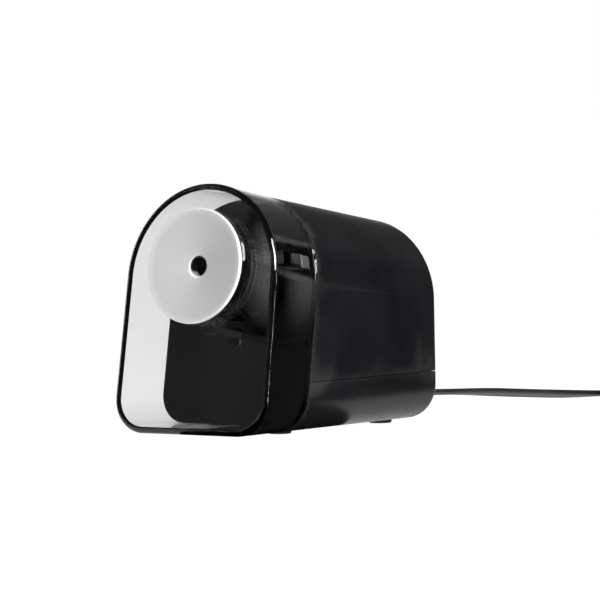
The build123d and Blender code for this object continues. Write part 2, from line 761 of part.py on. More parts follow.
with BuildPart() as motor_bushes:
    for hub_start, hub_end in (front_hub, rear_hub):
        rod(hub_start, hub_end, bush_radius, motor_at)
        rod(hub_start - 1, hub_end + 1, motor_shaft_radius + running_clearance, motor_at, Mode.SUBTRACT)
finish(motor_bushes, "motor_bushes")

with BuildPart() as motor_shaft:
    rod(motor_pinion_d[0] - 0.5, shaft_end_d, motor_shaft_radius, motor_at)
finish(motor_shaft, "motor_shaft")

with BuildPart() as rotor:
    rod(stack_front_d + 0.3, stack_back_d - 0.3, rotor_radius, motor_at)
    rod(stack_front_d - 0.7, stack_front_d + 0.3, rotor_radius - 1.5, motor_at)
    rod(stack_back_d - 0.3, stack_back_d + 0.7, rotor_radius - 1.5, motor_at)
    rod(stack_front_d - 2, stack_back_d + 2, motor_shaft_radius, motor_at, Mode.SUBTRACT)
finish(rotor, "rotor")

fan_d = (rear_bracket_d + 4.0, rear_bracket_d + 11.0)
fan_blades = 6
fan_radius = 15.0
with BuildPart() as cooling_fan:
    rod(fan_d[0], fan_d[1], motor_shaft_radius + 2.6, motor_at)
    rod(fan_d[0], fan_d[0] + 1.2, fan_radius, motor_at)
    for k in range(fan_blades):
        with BuildSketch(station(fan_d[1])) as blade:
            with Locations(Location((motor_at[0], motor_at[1], 0), 360 / fan_blades * k + 10)):
                with Locations((9.5, 0)):
                    Rectangle(10.5, 1.2)
        extrude(blade.sketch, amount=fan_d[1] - fan_d[0])
    rod(fan_d[0] - 1, fan_d[1] + 1, motor_shaft_radius, motor_at, Mode.SUBTRACT)
finish(cooling_fan, "cooling_fan")

with BuildPart() as motor_screws:
    for site in motor_screw_low:
        rod(plate_d[0] + 0.5, rear_bracket_d, screw_radius, site)
    for site in motor_screw_high:
        rod(front_bracket_d, rear_bracket_d, screw_radius, site)
    for site in motor_screw_low + motor_screw_high:
        rod(rear_bracket_d, rear_bracket_d + screw_head_height, screw_head_radius, site)
finish(motor_screws, "motor_screws")

# ---------------------------------------------------------------- start lever and switches
lever_tip_d = (9.5, 12.0)
lever_low = -26.0
lever_high = -23.0
button_d = lever_pivot_d - 9.0
button_radius = 1.2
switch_top_v = -29.6

with BuildPart() as start_lever:
    slab(
        lever_tip_d[0], lever_tip_d[1], 2 * lever_half_width, -1.0 - lever_low,
        (0, (lever_low - 1.0) / 2),
    )
    slab(
        lever_tip_d[0], lever_pivot_d, 2 * lever_half_width, lever_high - lever_low,
        (0, (lever_low + lever_high) / 2),
    )
    with BuildSketch(side_plane.offset(-lever_half_width)) as lever_hub:
        with Locations((lever_pivot_d, lever_v)):
            Circle(3.0)
    extrude(lever_hub.sketch, amount=2 * lever_half_width)
    with BuildSketch(side_plane.offset(-10)) as lever_bore:
        with Locations((lever_pivot_d, lever_v)):
            Circle(lever_pin_radius + running_clearance)
    extrude(lever_bore.sketch, amount=20, mode=Mode.SUBTRACT)
finish(start_lever, "start_lever")

with BuildPart() as lever_pin:
    with BuildSketch(side_plane.offset(-5.5)) as pin_profile:
        with Locations((lever_pivot_d, lever_v)):
            Circle(lever_pin_radius)
    extrude(pin_profile.sketch, amount=11)
finish(lever_pin, "lever_pin")

with BuildPart() as start_switch:
    slab(*switch_d, 6.0, switch_top_v - shelf_top_v, (0, (switch_top_v + shelf_top_v) / 2))
    switch_top = Plane(place(0, button_d, switch_top_v + 1), x_dir=(1, 0, 0), z_dir=up)
    with BuildSketch(switch_top.offset(-6)) as button_well:
        Circle(button_radius + running_clearance)
    extrude(button_well.sketch, amount=7, mode=Mode.SUBTRACT)
finish(start_switch, "start_switch")

with BuildPart() as start_button:
    with BuildSketch(switch_top.offset(lever_low - 0.3 - switch_top_v - 1)) as button_profile:
        Circle(button_radius)
    extrude(button_profile.sketch, amount=-6.0)
finish(start_button, "start_button")

with BuildPart() as interlock_plunger:
    spot = (lug_offset, lug_height)
    rod(lug_end + 0.3, interlock_front_d + 2.5, plunger_radius, spot)
    rod(plate_back_d + 2.0, plate_back_d + 3.2, plunger_radius + 0.9, spot)
finish(interlock_plunger, "interlock_plunger")

with BuildPart() as interlock_switch:
    slab(interlock_front_d, interlock_front_d + 9.0, 9.0, 13.0, (lug_offset - 0.5, lug_height - 4.0))
    well_radius = plunger_radius + running_clearance
    rod(interlock_front_d - 1, interlock_front_d + 5.0, well_radius, spot, Mode.SUBTRACT)
finish(interlock_switch, "interlock_switch")

# ---------------------------------------------------------------- leads inside the case
lead_radius = 0.9
lead_floor = 6.2


def lead(points, bend=3.0):
    """Insulated wire along a bent path."""
    with BuildPart() as wire:
        with BuildLine() as path:
            FilletPolyline(*points, radius=bend)
        with BuildSketch(Plane(path.line @ 0, z_dir=path.line % 0)):
            Circle(lead_radius)
        sweep()
    return wire


switch_foot = place(0, (switch_d[0] + switch_d[1]) / 2, shelf_top_v)
supply_lead = lead(
    [
        (-1.2, rear_y - 3.2, cord_exit_height),
        (-1.2, rear_y - 9.0, cord_exit_height),
        (-8.0, rear_y - 15.0, lead_floor),
        (-8.0, switch_foot.Y + 14.0, lead_floor),
        (-11.5, switch_foot.Y + 4.0, switch_foot.Z + 2.0),
        (-11.5, switch_foot.Y - 2.0, switch_foot.Z + 4.0),
        (-3.2, switch_foot.Y - 2.0, switch_foot.Z + 4.0),
    ]
)
finish(supply_lead, "supply_lead")

coil_spot = place(0, stack_back_d + 4.0, motor_at[1] + leg_middle)
neutral_lead = lead(
    [
        (1.2, rear_y - 3.2, cord_exit_height),
        (1.2, rear_y - 8.0, cord_exit_height),
        (13.0, rear_y - 11.0, cord_exit_height),
        (14.5, rear_y - 19.0, cord_exit_height + 2.0),
        (27.0, coil_spot.Y - 1.0, cord_exit_height + 14.0),
        (27.5, coil_spot.Y, coil_spot.Z - 6.0),
        (22.0, coil_spot.Y, coil_spot.Z),
        (coil_half_length + flange_thickness, coil_spot.Y, coil_spot.Z),
    ]
)
finish(neutral_lead, "neutral_lead")

# ---------------------------------------------------------------- cord, its coil, and the plug
cord_radius = cord_width / 2
relief_start_y = rear_y - 3.2
relief_end_y = rear_y + relief_length

with BuildPart() as strain_relief:
    with BuildSketch(Plane((0, 0, cord_exit_height), x_dir=(0, 1, 0), z_dir=(1, 0, 0))) as relief_profile:
        with BuildLine():
            Polyline(
                (relief_start_y, 0),
                (relief_start_y, relief_hole_radius + 1.4),
                (rear_y - housing_wall, relief_hole_radius + 1.4),
                (rear_y - housing_wall, relief_hole_radius),
                (rear_y, relief_hole_radius),
                (rear_y, relief_hole_radius + 1.2),
                (rear_y + 2.0, relief_hole_radius + 1.2),
                (relief_end_y, cord_radius + 0.7),
                (relief_end_y, 0),
                close=True,
            )
        make_face()
    revolve(axis=Axis((0, 0, cord_exit_height), (0, 1, 0)))
finish(strain_relief, "strain_relief")

# route of the cord's middle line, from the strain relief to the coil
cord_route = [
    (0.0, relief_end_y, cord_exit_height),
    (0.6, relief_end_y + 26.0, 9.2),
    (4.0, relief_end_y + 55.0, 7.6),
    (9.0, relief_end_y + 84.5, 5.4),
    (16.0, relief_end_y + 116.5, 3.4),
    (25.2, relief_end_y + 150.1, 2.8),
]
coil_tail_turn = 0.458  # wound clockwise in three layers of three, 8.458 turns in all
coil_middle_radius = 29.5
coil_layers = 3
turn_pitch = 5.8
layer_height = 2.95


def corner_radii(points):
    """Arc radius at each corner of a route: as large as its two runs allow."""
    radii = []
    for before, here, after in zip(points, points[1:], points[2:]):
        run_in = Vector(*here) - Vector(*before)
        run_out = Vector(*after) - Vector(*here)
        turn = radians(run_in.get_angle(run_out))
        radii.append(0.45 * min(run_in.length, run_out.length) / tan(turn / 2))
    return radii


def cord_tube(points):
    """Round tube of the cord's width along a route."""
    radii = corner_radii(points)
    with BuildPart() as tube:
        with BuildLine() as path:
            FilletPolyline(*points, radius=radii)
        with BuildSketch(Plane(path.line @ 0, z_dir=path.line % 0)):
            Circle(cord_radius)
        sweep()
    run_length = sum(edge.length for edge in path.edges())
    print("arc radii", [round(r, 1) for r in radii], "length", round(run_length, 1))
    swept_volume = pi * cord_radius**2 * run_length
    print("volume over section times length", round(tube.part.volume / swept_volume, 4))
    return tube


def ring_point(angle, radius, z):
    """Point of the coil at an angle in degrees about its centre."""
    return coil_centre + Vector(radius * cos(radians(angle)), radius * sin(radians(angle)), z)


outer_turn_radius = coil_middle_radius + turn_pitch
coil_join = Vector(*cord_route[-1])
run_in = coil_join - Vector(*cord_route[-2])
heading = atan2(run_in.Y, run_in.X) * 180 / pi
to_centre = Vector(run_in.Y, -run_in.X, 0).normalized()
coil_centre = Vector(coil_join.X, coil_join.Y, 0) + to_centre * outer_turn_radius
tail_heading = heading - 360 * coil_tail_turn
tail_way = Vector(cos(radians(tail_heading)), sin(radians(tail_heading)), 0)

power_cord = cord_tube(cord_route)
finish(power_cord, "power_cord")

coil_band = 1.5 * turn_pitch
with BuildPart() as cord_coil:
    with BuildSketch(Plane((coil_centre.X, coil_centre.Y, 0))) as coil_ring:
        Circle(coil_middle_radius + coil_band)
        Circle(coil_middle_radius - coil_band, mode=Mode.SUBTRACT)
    extrude(coil_ring.sketch, amount=coil_layers * layer_height)
    chamfer(cord_coil.edges().filter_by(GeomType.CIRCLE), 1.0)
finish(cord_coil, "cord_coil")

tie_clearance = 0.4
tie_thickness = 0.8
tie_width = 5.0
tie_angle = tail_heading - 30.0
tie_tangent = Vector(-sin(radians(tie_angle)), cos(radians(tie_angle)), 0)
tie_point = ring_point(tie_angle, coil_middle_radius, 0)
tie_outward = Vector(cos(radians(tie_angle)), sin(radians(tie_angle)), 0)
tie_plane = Plane(tie_point, x_dir=tie_outward, z_dir=-tie_tangent)
with BuildPart() as cord_tie:
    with BuildSketch(tie_plane.offset(-tie_width / 2)) as tie_loop:
        tie_hole = coil_layers * layer_height + tie_clearance
        with Locations((0, (tie_hole + tie_thickness) / 2)):
            Rectangle(2 * (coil_band + tie_clearance + tie_thickness), tie_hole + tie_thickness)
        with Locations((0, tie_hole / 2)):
            Rectangle(2 * (coil_band + tie_clearance), tie_hole, mode=Mode.SUBTRACT)
    extrude(tie_loop.sketch, amount=tie_width)
finish(cord_tie, "cord_tie")

plug_height = 6.5
inner_turn_radius = coil_middle_radius - turn_pitch
tail_steps = [(0.0, 7.4), (16.0, 9.8), (32.0, 9.3), (47.0, plug_height)]  # along the table, above it
tail_route = []
for along, height in tail_steps:
    tail_route.append(tuple(ring_point(tail_heading + 90, inner_turn_radius, height) + tail_way * along))
tail_end = Vector(*tail_route[-1])
plug_lead = cord_tube(tail_route)
finish(plug_lead, "plug_lead")

plug_length = 28.0
plug_head_length = 10.0
plug_head_width = 24.0
blade_gap = 12.7
blade_length = 16.0
blade_thickness = 1.5
blade_width = 6.3
with BuildPart() as plug_body:
    neck_plane = Plane(tail_end, x_dir=(tail_way.Y, -tail_way.X, 0), z_dir=tail_way)
    with BuildSketch(neck_plane) as neck:
        RectangleRounded(9.0, 7.0, 2.0)
    with BuildSketch(neck_plane.offset(plug_length - plug_head_length)) as shoulder:
        RectangleRounded(plug_head_width - 2.0, 2 * plug_height - 1.0, 3.0)
    loft([neck.sketch.face(), shoulder.sketch.face()])
    with BuildSketch(neck_plane.offset(plug_length - plug_head_length)) as head:
        RectangleRounded(plug_head_width, 2 * plug_height, 3.0)
    extrude(head.sketch, amount=plug_head_length)
finish(plug_body, "plug_body")

with BuildPart() as plug_blades:
    with BuildSketch(neck_plane.offset(plug_length)) as blade_section:
        with Locations((-blade_gap / 2, 0), (blade_gap / 2, 0)):
            Rectangle(blade_thickness, blade_width)
    extrude(blade_section.sketch, amount=blade_length)
    tips = plug_blades.faces().sort_by(Axis(tail_end, tail_way))[-2:].edges()
    chamfer(tips.filter_by(lambda e: e.length < 2), 1.2)
finish(plug_blades, "plug_blades")
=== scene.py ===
"""Looks of the desktop electric pencil sharpener: materials, cord and studio."""

import json
from math import atan2, cos, pi, radians, sin

import bpy
from mathutils import Matrix, Vector


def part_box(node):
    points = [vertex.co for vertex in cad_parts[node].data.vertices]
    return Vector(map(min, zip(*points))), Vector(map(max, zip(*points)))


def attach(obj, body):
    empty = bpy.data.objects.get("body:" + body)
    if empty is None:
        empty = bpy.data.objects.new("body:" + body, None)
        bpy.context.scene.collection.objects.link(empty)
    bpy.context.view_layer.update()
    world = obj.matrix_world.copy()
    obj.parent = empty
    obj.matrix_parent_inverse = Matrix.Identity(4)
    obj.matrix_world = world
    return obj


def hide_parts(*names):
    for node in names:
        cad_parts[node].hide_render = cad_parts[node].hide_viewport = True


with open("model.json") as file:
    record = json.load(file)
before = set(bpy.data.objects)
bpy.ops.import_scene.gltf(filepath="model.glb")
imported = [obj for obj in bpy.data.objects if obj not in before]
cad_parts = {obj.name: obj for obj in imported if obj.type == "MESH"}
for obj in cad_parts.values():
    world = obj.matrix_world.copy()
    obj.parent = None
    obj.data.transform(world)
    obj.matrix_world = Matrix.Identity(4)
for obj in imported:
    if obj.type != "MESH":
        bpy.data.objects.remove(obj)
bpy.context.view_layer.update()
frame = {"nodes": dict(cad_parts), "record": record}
MM = 0.001
LEAN = radians(9.2)  # how far the face leans back

# ---------------------------------------------------------------- camera
VIEW_AZIMUTH = radians(36.518)  # from straight ahead towards the right side
VIEW_ELEVATION = radians(1.832)
VIEW_ROLL = radians(-0.783)
FOCAL_LENGTH = 210.2  # on a 36 mm sensor
AIM = Vector((46.393, 54.915, 1419.715)) * MM  # across, up and back from the foot of the face
FACE_FOOT = Vector((0.0, -65.5, 1.5)) * MM


def view_axes():
    """Right, up and back of the camera, with its roll."""
    back = Vector((
        sin(VIEW_AZIMUTH) * cos(VIEW_ELEVATION),
        -cos(VIEW_AZIMUTH) * cos(VIEW_ELEVATION),
        sin(VIEW_ELEVATION),
    ))
    level = Vector((cos(VIEW_AZIMUTH), sin(VIEW_AZIMUTH), 0.0))
    upright = back.cross(level)
    right = level * cos(VIEW_ROLL) + upright * sin(VIEW_ROLL)
    up = upright * cos(VIEW_ROLL) - level * sin(VIEW_ROLL)
    return right, up, back


def make_camera():
    """Camera at the viewing angle."""
    right, up, back = view_axes()
    place = FACE_FOOT + right * AIM.x + up * AIM.y + back * AIM.z
    data = bpy.data.cameras.new("camera")
    data.lens = FOCAL_LENGTH
    data.sensor_width = 36.0
    camera = bpy.data.objects.new("camera", data)
    rotation = Matrix((right, up, back)).transposed().to_4x4()
    camera.matrix_world = Matrix.Translation(place) @ rotation
    bpy.context.scene.collection.objects.link(camera)
    bpy.context.scene.camera = camera


# ---------------------------------------------------------------- material tools
MOULD_WAVE = 0.02 * MM  # slow waviness of a moulded surface
FLOW_WAVE = 0.03 * MM  # flow marks in the clear plastic
FLAKE_DEPTH = 0.004 * MM  # relief of the metallic paint
SHEET_GROOVE = 0.05 * MM  # grooves between the motor's steel sheets
WIRE_GROOVE = 0.1 * MM  # grooves between the turns of wire
BORE_SHADE_FULL = 4.10 * MM  # distance from the pencil axis within which the disc's hole is painted near black as painted shade
BORE_SHADE_START = 4.35 * MM  # and where the painted shade ends and the silver starts
SLEEVE_SHADE_FULL = 6.6 * MM  # distance within which the guide sleeve is painted near black as painted shade
SLEEVE_SHADE_START = 7.2 * MM
SHADE_FADE = 2 * MM  # over which the painted shade near the pencil axis fades out


def new_material(name):
    """Material with its node tree, its Principled shader and object coordinates."""
    material = bpy.data.materials.new(name)
    material.use_nodes = True
    tree = material.node_tree
    shader = tree.nodes["Principled BSDF"]
    coordinates = tree.nodes.new("ShaderNodeTexCoord")
    return material, tree, shader, coordinates.outputs["Object"]


def noise(tree, vector, scale, detail=2.0, stretch=(1.0, 1.0, 1.0)):
    """Noise over the object's coordinates, scale in cells per metre."""
    mapping = tree.nodes.new("ShaderNodeMapping")
    mapping.inputs["Scale"].default_value = stretch
    tree.links.new(vector, mapping.inputs["Vector"])
    texture = tree.nodes.new("ShaderNodeTexNoise")
    texture.inputs["Scale"].default_value = scale
    texture.inputs["Detail"].default_value = detail
    tree.links.new(mapping.outputs["Vector"], texture.inputs["Vector"])
    return texture.outputs["Fac"]


def tint(tree, factor, dark, light, low=0.3, high=0.7):
    """Two-tone ramp driven by a factor."""
    ramp = tree.nodes.new("ShaderNodeValToRGB")
    ramp.color_ramp.elements[0].position = low
    ramp.color_ramp.elements[1].position = high
    ramp.color_ramp.elements[0].color = (*dark, 1.0)
    ramp.color_ramp.elements[1].color = (*light, 1.0)
    tree.links.new(factor, ramp.inputs["Fac"])
    return ramp.outputs["Color"]


def spread(tree, factor, low, high):
    """Noise factor mapped to a range of values."""
    mapped = tree.nodes.new("ShaderNodeMapRange")
    mapped.inputs["From Min"].default_value = 0.25
    mapped.inputs["From Max"].default_value = 0.75
    mapped.inputs["To Min"].default_value = low
    mapped.inputs["To Max"].default_value = high
    tree.links.new(factor, mapped.inputs["Value"])
    return mapped.outputs["Result"]


def bump(tree, height, depth, before=None):
    """Bump from a height, depth in metres."""
    node = tree.nodes.new("ShaderNodeBump")
    node.inputs["Strength"].default_value = 1.0
    node.inputs["Distance"].default_value = depth
    tree.links.new(height, node.inputs["Height"])
    if before is not None:
        tree.links.new(before, node.inputs["Normal"])
    return node.outputs["Normal"]


def edge_mask(tree, low=0.52, high=0.60):
    """One along sharp convex edges, nought elsewhere."""
    geometry = tree.nodes.new("ShaderNodeNewGeometry")
    ramp = tree.nodes.new("ShaderNodeMapRange")
    ramp.inputs["From Min"].default_value = low
    ramp.inputs["From Max"].default_value = high
    tree.links.new(geometry.outputs["Pointiness"], ramp.inputs["Value"])
    return ramp.outputs["Result"]


def mixed(tree, factor, first, second_colour):
    """First colour, turning to a fixed second colour where the factor is one."""
    mix = tree.nodes.new("ShaderNodeMix")
    mix.data_type = "RGBA"
    mix.inputs["B"].default_value = (*second_colour, 1.0)
    tree.links.new(factor, mix.inputs["Factor"])
    tree.links.new(first, mix.inputs["A"])
    return mix.outputs["Result"]


def plastic(name, dark, light, rough, grain=0.0, grain_size=0.35, specular=0.5, worn=None):
    """Moulded plastic: mottled tone, uneven polish, moulded grain and worn edges."""
    material, tree, shader, vector = new_material(name)
    tone = tint(tree, noise(tree, vector, 45.0, 4.0), dark, light)
    if worn is not None:
        tone = mixed(tree, edge_mask(tree), tone, worn)
    tree.links.new(tone, shader.inputs["Base Color"])
    polish = spread(tree, noise(tree, vector, 160.0, 5.0), rough[0], rough[1])
    tree.links.new(polish, shader.inputs["Roughness"])
    shader.inputs["Specular IOR Level"].default_value = specular
    waviness = bump(tree, noise(tree, vector, 60.0, 1.0), MOULD_WAVE)
    if grain:
        waviness = bump(tree, noise(tree, vector, 1.0 / (grain_size * MM), 3.0), grain * MM, waviness)
    tree.links.new(waviness, shader.inputs["Normal"])
    return material


def metal(name, dark, light, rough, brush=(1.0, 1.0, 1.0), depth=0.004, shade_radius=0.0):
    """Bare metal, brushed or cast, with painted shade: near black within a distance of the pencil axis."""
    material, tree, shader, vector = new_material(name)
    shader.inputs["Metallic"].default_value = 1.0
    streaks = noise(tree, vector, 900.0, 4.0, brush)
    patches = noise(tree, vector, 120.0, 3.0)
    tone = tint(tree, patches, dark, light)
    # painted shade: metal near the pencil axis is painted near black so that the hole reads dark
    if shade_radius:
        axis_shade = tree.nodes.new("ShaderNodeMapRange")
        axis_shade.inputs["From Min"].default_value = shade_radius + SHADE_FADE
        axis_shade.inputs["From Max"].default_value = shade_radius
        tree.links.new(axis_distance(tree, vector), axis_shade.inputs["Value"])
        tone = mixed(tree, axis_shade.outputs["Result"], tone, (0.012, 0.012, 0.013))
    tree.links.new(tone, shader.inputs["Base Color"])
    tree.links.new(spread(tree, streaks, rough[0], rough[1]), shader.inputs["Roughness"])
    tree.links.new(bump(tree, streaks, depth * MM), shader.inputs["Normal"])
    return material


def clear_plastic():
    """Clear, very lightly smoked moulded plastic with faint flow marks, and painted shade: near black
    round the pencil axis on the guide sleeve.
    """
    material, tree, shader, vector = new_material("clear_plastic")
    shader.inputs["Transmission Weight"].default_value = 1.0
    shader.inputs["IOR"].default_value = 1.47
    clear_tone = tint(tree, noise(tree, vector, 30.0, 2.0), (0.925, 0.925, 0.925), (0.945, 0.945, 0.94))
    # painted shade: the clear plastic turns near black close to the pencil axis, where the hole is in
    # shade
    sleeve_shade = tree.nodes.new("ShaderNodeMapRange")
    sleeve_shade.inputs["From Min"].default_value = SLEEVE_SHADE_START
    sleeve_shade.inputs["From Max"].default_value = SLEEVE_SHADE_FULL
    tree.links.new(axis_distance(tree, vector), sleeve_shade.inputs["Value"])
    clear_tone = mixed(tree, sleeve_shade.outputs["Result"], clear_tone, (0.004, 0.004, 0.004))
    tree.links.new(clear_tone, shader.inputs["Base Color"])
    tree.links.new(spread(tree, noise(tree, vector, 200.0, 4.0), 0.0, 0.03), shader.inputs["Roughness"])
    flow = noise(tree, vector, 35.0, 1.5, (1.0, 0.35, 1.0))
    tree.links.new(bump(tree, flow, FLOW_WAVE), shader.inputs["Normal"])
    return material


def axis_distance(tree, vector):
    """Distance from the pencil axis."""
    low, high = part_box("pencil_disc")
    centre = (low + high) / 2
    shift = tree.nodes.new("ShaderNodeVectorMath")
    shift.operation = "SUBTRACT"
    shift.inputs[1].default_value = centre
    tree.links.new(vector, shift.inputs[0])
    turn = tree.nodes.new("ShaderNodeVectorRotate")
    turn.rotation_type = "X_AXIS"
    turn.inputs["Angle"].default_value = LEAN
    tree.links.new(shift.outputs["Vector"], turn.inputs["Vector"])
    flat = tree.nodes.new("ShaderNodeVectorMath")
    flat.operation = "MULTIPLY"
    flat.inputs[1].default_value = (1.0, 0.0, 1.0)
    tree.links.new(turn.outputs["Vector"], flat.inputs[0])
    length = tree.nodes.new("ShaderNodeVectorMath")
    length.operation = "LENGTH"
    tree.links.new(flat.outputs["Vector"], length.inputs[0])
    return length.outputs["Value"]


def silver_paint():
    """Satin silver painted plastic: fine flake, cloudiness, a painted highlight on the sharp edges and
    painted shade in the pencil hole.
    """
    material, tree, shader, vector = new_material("silver_plastic")
    flake = noise(tree, vector, 6000.0, 2.0)
    cloud = noise(tree, vector, 70.0, 3.0)
    tone = tint(tree, flake, (0.42, 0.42, 0.425), (0.52, 0.52, 0.525))
    # painted highlight: the sharp edges of the disc and of its hole are painted near white
    tone = mixed(tree, edge_mask(tree, 0.51, 0.56), tone, (0.78, 0.78, 0.78))
    # painted shade: the disc is painted near black close to the pencil axis, where the hole is in shade
    bore_shade = tree.nodes.new("ShaderNodeMapRange")
    bore_shade.inputs["From Min"].default_value = BORE_SHADE_START
    bore_shade.inputs["From Max"].default_value = BORE_SHADE_FULL
    tree.links.new(axis_distance(tree, vector), bore_shade.inputs["Value"])
    tone = mixed(tree, bore_shade.outputs["Result"], tone, (0.006, 0.006, 0.006))
    tree.links.new(tone, shader.inputs["Base Color"])
    shader.inputs["Metallic"].default_value = 0.2
    tree.links.new(spread(tree, cloud, 0.34, 0.46), shader.inputs["Roughness"])
    tree.links.new(bump(tree, flake, FLAKE_DEPTH), shader.inputs["Normal"])
    return material


def laminated_steel():
    """Stack of thin dark steel sheets, with the edges of the sheets showing."""
    material, tree, shader, vector = new_material("laminated_steel")
    shader.inputs["Metallic"].default_value = 1.0
    sheets = tree.nodes.new("ShaderNodeTexWave")
    sheets.bands_direction = "Y"
    sheets.inputs["Scale"].default_value = 320.0
    sheets.inputs["Distortion"].default_value = 0.4
    tree.links.new(vector, sheets.inputs["Vector"])
    tone = tint(tree, sheets.outputs["Fac"], (0.16, 0.16, 0.17), (0.42, 0.42, 0.43))
    tree.links.new(tone, shader.inputs["Base Color"])
    tree.links.new(spread(tree, noise(tree, vector, 500.0), 0.35, 0.6), shader.inputs["Roughness"])
    tree.links.new(bump(tree, sheets.outputs["Fac"], SHEET_GROOVE), shader.inputs["Normal"])
    return material


def copper_winding():
    """Enamelled wire laid side by side."""
    material, tree, shader, vector = new_material("copper")
    shader.inputs["Metallic"].default_value = 1.0
    wires = tree.nodes.new("ShaderNodeTexWave")
    wires.bands_direction = "X"
    wires.inputs["Scale"].default_value = 500.0
    wires.inputs["Distortion"].default_value = 0.8
    tree.links.new(vector, wires.inputs["Vector"])
    tone = tint(tree, wires.outputs["Fac"], (0.30, 0.10, 0.04), (0.75, 0.34, 0.16))
    tree.links.new(tone, shader.inputs["Base Color"])
    tree.links.new(spread(tree, noise(tree, vector, 300.0), 0.25, 0.4), shader.inputs["Roughness"])
    tree.links.new(bump(tree, wires.outputs["Fac"], WIRE_GROOVE), shader.inputs["Normal"])
    return material


def make_materials():
    """One material for each of the record's slots."""
    return {
        "clear_plastic": clear_plastic(),
        "silver_plastic": silver_paint(),
        "black_plastic": plastic(
            "black_plastic", (0.0030, 0.0030, 0.0036), (0.0060, 0.0060, 0.0068), (0.28, 0.38),
            grain=0.006, specular=0.17, worn=(0.02, 0.02, 0.021),
        ),
        "gloss_black": plastic(
            "gloss_black", (0.003, 0.003, 0.003), (0.006, 0.006, 0.006), (0.05, 0.11), specular=0.4,
        ),
        "rubber": plastic(
            "rubber", (0.012, 0.012, 0.012), (0.025, 0.025, 0.025), (0.6, 0.8), grain=0.03, specular=0.3,
        ),
        "zinc": metal(
            "zinc", (0.20, 0.20, 0.21), (0.30, 0.30, 0.31), (0.42, 0.62), depth=0.02, shade_radius=16 * MM,
        ),
        "steel": metal(
            "steel", (0.30, 0.30, 0.31), (0.44, 0.44, 0.45), (0.18, 0.34),
            (1.0, 0.1, 1.0), shade_radius=13 * MM,
        ),
        "laminated_steel": laminated_steel(),
        "bronze": metal("bronze", (0.42, 0.26, 0.10), (0.60, 0.40, 0.18), (0.3, 0.5)),
        "copper": copper_winding(),
        "white_nylon": plastic(
            "white_nylon", (0.68, 0.67, 0.60), (0.80, 0.79, 0.73), (0.35, 0.5), grain=0.01,
        ),
        "red_plastic": plastic(
            "red_plastic", (0.36, 0.02, 0.02), (0.50, 0.04, 0.03), (0.35, 0.5), grain=0.01,
        ),
        "black_wire": plastic("black_wire", (0.008, 0.008, 0.008), (0.02, 0.02, 0.02), (0.35, 0.5)),
        "white_wire": plastic("white_wire", (0.62, 0.62, 0.60), (0.75, 0.75, 0.72), (0.35, 0.5)),
        "cord_vinyl": plastic(
            "cord_vinyl", (0.006, 0.006, 0.006), (0.014, 0.014, 0.014), (0.28, 0.42),
            grain=0.012, specular=0.45,
        ),
        "nickel": metal("nickel", (0.60, 0.58, 0.53), (0.74, 0.72, 0.67), (0.12, 0.25), (1.0, 1.0, 0.1)),
    }


def dress_cad_nodes(materials):
    """Give each CAD node the material of its slot."""
    for part in frame["record"]["subparts"]:
        node = frame["nodes"][part["node"]]
        node.data.materials.clear()
        node.data.materials.append(materials[part["material_slot"]])


# ---------------------------------------------------------------- mesh tools
def mesh_object(name, vertices, faces, material):
    """Smooth mesh piece that rides on the case."""
    mesh = bpy.data.meshes.new(name)
    mesh.from_pydata(vertices, [], faces)
    mesh.validate()
    mesh.update()
    mesh.materials.append(material)
    for polygon in mesh.polygons:
        polygon.use_smooth = True
    piece = bpy.data.objects.new(name, mesh)
    bpy.context.scene.collection.objects.link(piece)
    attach(piece, "case")
    return piece


def tube_mesh(rings):
    """Vertices and faces of a skin over rings of points, with both ends capped."""
    count = len(rings[0])
    vertices = [point for ring in rings for point in ring]
    faces = []
    for row in range(len(rings) - 1):
        for k in range(count):
            after = (k + 1) % count
            low, high = row * count, (row + 1) * count
            faces.append((low + k, low + after, high + after, high + k))
    faces.append(tuple(range(count))[::-1])
    faces.append(tuple(range((len(rings) - 1) * count, len(rings) * count)))
    return vertices, faces


# ---------------------------------------------------------------- cord
CORD_WIDTH = 5.6 * MM
CORD_THICKNESS = 2.8 * MM
# route of the cord's middle line from the strain relief to the coil
CORD_ROUTE = [
    (0.0, 0.0935, 0.010),
    (0.0006, 0.1195, 0.0092),
    (0.004, 0.1485, 0.0076),
    (0.009, 0.178, 0.0054),
    (0.016, 0.210, 0.0034),
    (0.0252, 0.2436, 0.0028),
]
TURN_RADII = [0.0353, 0.0295, 0.0237, 0.0237, 0.0295, 0.0353, 0.0353, 0.0295, 0.0237]
LAYER_HEIGHT = 2.95 * MM
COIL_TURNS = 8.458
POINTS_PER_TURN = 36
STEP_WINDOWS = [0.9, 0.9, 0.8, 0.7, 0.7, 0.6, 0.5, 0.5]  # where in each turn the cord steps over
STEP_LENGTH = 0.1  # of a turn
SETTLE_LENGTH = 0.12  # of a turn, in which the route's end comes down to the first layer
LOBE_STEPS = 9  # points round each lobe of the flat cord
LOBE_START = radians(-136)
LOBE_STEP = radians(34)
ROLL = radians(24)  # how far the cord is rolled over where it bends
ROLL_START = 0.02  # lengths from the exit
ROLL_RISE = 0.05
ROLL_END = 0.10
ROLL_FALL = 0.045
# along the table from the coil, and above it
TAIL_STEPS = [(0.0, 0.0074), (0.016, 0.0098), (0.032, 0.0093), (0.047, 0.0065)]


def smooth_step(value):
    """Nought to one with level ends."""
    value = max(0.0, min(1.0, value))
    return value * value * (3 - 2 * value)


def coil_state(turn):
    """Radius and height of the coil's line after a number of turns."""
    radius = TURN_RADII[0]
    height = LAYER_HEIGHT / 2
    for k, start in enumerate(STEP_WINDOWS):
        share = smooth_step((turn - k - start) / STEP_LENGTH)
        radius += (TURN_RADII[k + 1] - TURN_RADII[k]) * share
        if TURN_RADII[k + 1] == TURN_RADII[k]:
            height += LAYER_HEIGHT * share
    settle = CORD_ROUTE[-1][2] - LAYER_HEIGHT / 2
    return radius, height + settle * (1 - smooth_step(turn / SETTLE_LENGTH))


